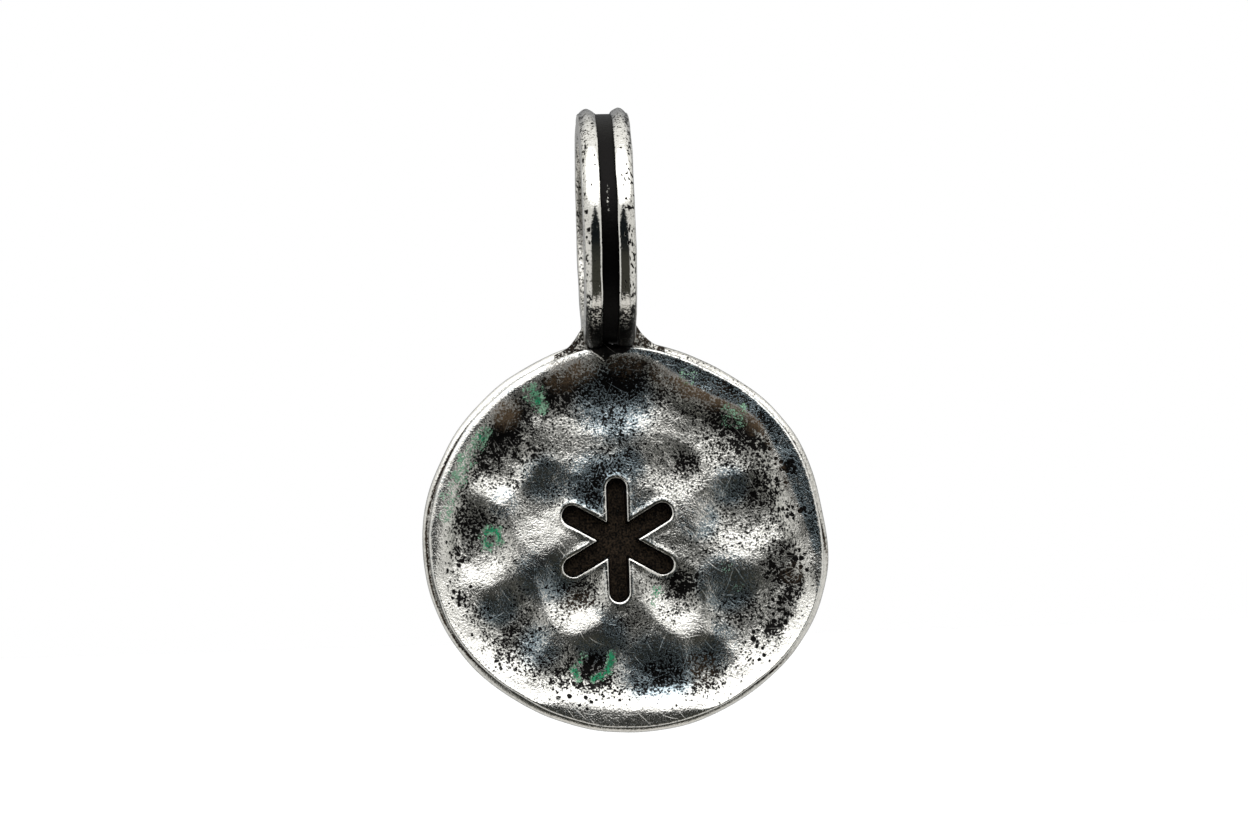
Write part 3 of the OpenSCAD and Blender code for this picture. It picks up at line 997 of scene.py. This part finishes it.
def make_bead():
    """The blob that ran over the front rim, under the ring."""
    low, high = node_box("solder_bead_front")
    bm = bmesh.new()
    bmesh.ops.create_icosphere(bm, subdivisions=5, radius=1.0)
    half = (high.x - low.x) / 2
    middle = (low.x + high.x) / 2
    for vert in bm.verts:
        drip = math.exp(-((vert.co.x - DRIP_X) / 0.4) ** 2)
        vert.co.z = vert.co.z * (0.26 + 0.3 * drip) - 0.12 * drip
        vert.co.y *= 0.3 + 0.08 * drip
        vert.co += Vector((middle + vert.co.x * (half - 1), FRONT_Y + 0.12, -BAIL_R + 0.02))
    piece = finished(bm, "solder_bead_front_rough")
    points = points_of(piece)
    for axis, seed in ((0, 60), (1, 61), (2, 62)):
        points[:, axis] += 0.1 * ripple(points, 0.5, seed) + 0.04 * ripple(points, 0.2, seed + 3)
    points[:, 1] = np.maximum(points[:, 1], FRONT_Y - BEAD_PROUD)
    beside = points[:, 0] - TEAR[0]
    torn = np.abs(points[:, 2] - TEAR[1] + 0.75 * beside) < 0.05
    torn &= (np.abs(beside) < 0.3) & (points[:, 1] < FRONT_Y)
    paint(piece, tarnish=np.where(torn, 0.0, 0.95 - 0.1 * ripple(points, 0.25, 65)), grain=0.3)
    place_points(piece, points)
    return piece


# ---------------------------------------------------------------- operators


class CHARM_OT_face_plate(bpy.types.Operator):
    """Hammer the face plate and pierce its star"""

    bl_idname = "charm.face_plate"
    bl_label = "Hammered face"

    def execute(self, context):
        piece = make_face_plate(context.scene.charm_face)
        seat(piece, aged_silver("hammered_silver", "XZ", film="patina"), "hammered_silver", "face_plate")
        return {"FINISHED"}


class CHARM_OT_back_plates(bpy.types.Operator):
    """Lay the back plate and the solder seam behind the face"""

    bl_idname = "charm.back_plates"
    bl_label = "Back plate and seam"

    def execute(self, context):
        film = aged_silver("seam_solder", "XZ", polish=0.3, marks=0.0)
        seat(make_seam(), film, "dark_solder", "plate_solder")
        plain = aged_silver("rolled_silver", "XZ", polish=0.24)
        seat(make_back_plate(), plain, "plain_silver", "back_plate")
        return {"FINISHED"}


class CHARM_OT_bail(bpy.types.Operator):
    """Turn the ring bail: its blackened band and two bright rails"""

    bl_idname = "charm.bail"
    bl_label = "Ring bail"

    def execute(self, context):
        black = aged_silver("blackened_silver", "YZ", polish=0.3, marks=0.0)
        seat(make_bail_band(), black, "black_oxide", "bail_band")
        bright = aged_silver("polished_silver", "YZ", polish=0.09, marks=0.0, relief=0.4)
        seat(make_bail_rail(1), bright, "polished_silver", "bail_rail_right")
        seat(make_bail_rail(-1), bright, "polished_silver", "bail_rail_left")
        return {"FINISHED"}


class CHARM_OT_solder(bpy.types.Operator):
    """Flow the solder round the joint"""

    bl_idname = "charm.solder"
    bl_label = "Solder"

    def execute(self, context):
        dark = aged_silver("rough_solder", "XZ", polish=0.34, marks=0.4)
        seat(make_fillet(1), dark, "dark_solder", "solder_fillet_right")
        seat(make_fillet(-1), dark, "dark_solder", "solder_fillet_left")
        seat(make_bead(), dark, "dark_solder", "solder_bead_front")
        return {"FINISHED"}


class CHARM_OT_stage(bpy.types.Operator):
    """Set up the pale floor, the studio light and the camera"""

    bl_idname = "charm.stage"
    bl_label = "Stage"

    def execute(self, context):
        settings = context.scene.charm_stage
        make_floor(settings)
        make_light()
        make_camera(settings)
        context.scene.view_settings.view_transform = "Standard"
        return {"FINISHED"}


def make_floor(settings):
    bm = bmesh.new()
    bmesh.ops.create_grid(bm, x_segments=4, y_segments=4, size=0.6)
    bmesh.ops.translate(bm, verts=bm.verts, vec=(0, 0, CAD_BOX[0][2] - settings.floor_drop))
    mesh = bpy.data.meshes.new("floor")
    bm.to_mesh(mesh)
    bm.free()
    floor = bpy.data.objects.new("floor", mesh)
    bpy.context.collection.objects.link(floor)
    material = bpy.data.materials.new("pale_floor")
    material.use_nodes = True
    recipe = Recipe(material.node_tree)
    principled(recipe, **{"Base Color": (0.93, 0.94, 0.96, 1.0), "Roughness": 0.9})
    mesh.materials.append(material)
    floor.visible_glossy = False


def make_light():
    """A white light tent, open where the camera looks in."""
    world = bpy.data.worlds.new("light_tent")
    bpy.context.scene.world = world
    world.use_nodes = True
    recipe = Recipe(world.node_tree)
    x, y, z = recipe.parts(recipe.node("TexCoord", {})[0])
    side = abs(x) + z.most(0.0) * 1.4
    ahead = (0 - y).rising(-0.1, 0.2) * (1 - side.rising(0.5, 0.7))
    above = z.rising(0.34, 0.48) * (1 - y.rising(-0.25, 0.05))
    under = (0 - z).rising(0.1, 0.6)
    ground = (abs(x) * 0.2 - z).rising(0.955, 0.975)
    opening = recipe.mix(under, (0.006, 0.008, 0.009), (0.04, 0.04, 0.032))
    behind = z.rising(0.2, 0.6) * y.rising(-0.15, 0.2)
    colour = recipe.mix(behind, (0.69, 0.685, 0.655), (0.95, 0.945, 0.91))
    colour = recipe.mix(y.rising(0.4, 0.9), colour, (0.3, 0.305, 0.31))
    colour = recipe.mix(ahead, colour, opening)
    colour = recipe.mix(ground, colour, (0.7, 0.68, 0.64))
    colour = recipe.mix(above, colour, (2.1, 2.09, 2.05))
    seen = recipe.node("LightPath", {})[0]
    colour = recipe.mix(seen, colour, (1.0, 1.0, 1.0))
    background = recipe.node("Background", {}, {"Color": colour, "Strength": 1.0})[0]
    recipe.node("OutputWorld", {}, (background,))


# The point that the camera looks at, mm.
VIEW_CENTRE = (0.625, 0, -9.28)


def make_camera(settings):
    """Looks at the charm square on, from a little to its left."""
    data = bpy.data.cameras.new("camera")
    data.sensor_width = 36
    data.lens = data.sensor_width * settings.distance / (settings.view_width * MM)
    data.clip_start = 0.01
    camera = bpy.data.objects.new("camera", data)
    bpy.context.collection.objects.link(camera)
    target = Vector(VIEW_CENTRE) * MM
    turn = Matrix.Rotation(settings.azimuth, 4, "Z") @ Matrix.Rotation(math.radians(90), 4, "X")
    back = turn @ Vector((0, 0, settings.distance))
    camera.matrix_world = Matrix.Translation(target + back) @ turn @ Matrix.Rotation(-settings.roll, 4, "Z")
    bpy.context.scene.camera = camera


class CHARM_PT_panel(bpy.types.Panel):
    """Shows the charm's settings and the buttons that build its pieces"""

    bl_label = "Hammered disc charm"
    bl_idname = "CHARM_PT_panel"
    bl_space_type = "VIEW_3D"
    bl_region_type = "UI"
    bl_category = "Charm"

    def draw(self, context):
        layout = self.layout
        for group in (context.scene.charm_face, context.scene.charm_finish, context.scene.charm_stage):
            box = layout.box()
            for name in group.__annotations__:
                box.prop(group, name)
        for operator in OPERATORS:
            layout.operator(operator.bl_idname)


OPERATORS = (CHARM_OT_face_plate, CHARM_OT_back_plates, CHARM_OT_bail, CHARM_OT_solder, CHARM_OT_stage)
CLASSES = (FaceSettings, FinishSettings, StageSettings, *OPERATORS, CHARM_PT_panel)


def register():
    for cls in CLASSES:
        bpy.utils.register_class(cls)
    bpy.types.Scene.charm_face = bpy.props.PointerProperty(type=FaceSettings)
    bpy.types.Scene.charm_finish = bpy.props.PointerProperty(type=FinishSettings)
    bpy.types.Scene.charm_stage = bpy.props.PointerProperty(type=StageSettings)


def unregister():
    del bpy.types.Scene.charm_stage
    del bpy.types.Scene.charm_finish
    del bpy.types.Scene.charm_face
    for cls in reversed(CLASSES):
        bpy.utils.unregister_class(cls)


def main():
    register()
    bpy.ops.charm.stage()
    bpy.ops.charm.face_plate()
    bpy.ops.charm.back_plates()
    bpy.ops.charm.bail()
    bpy.ops.charm.solder()


if __name__ == "__main__":
    main()
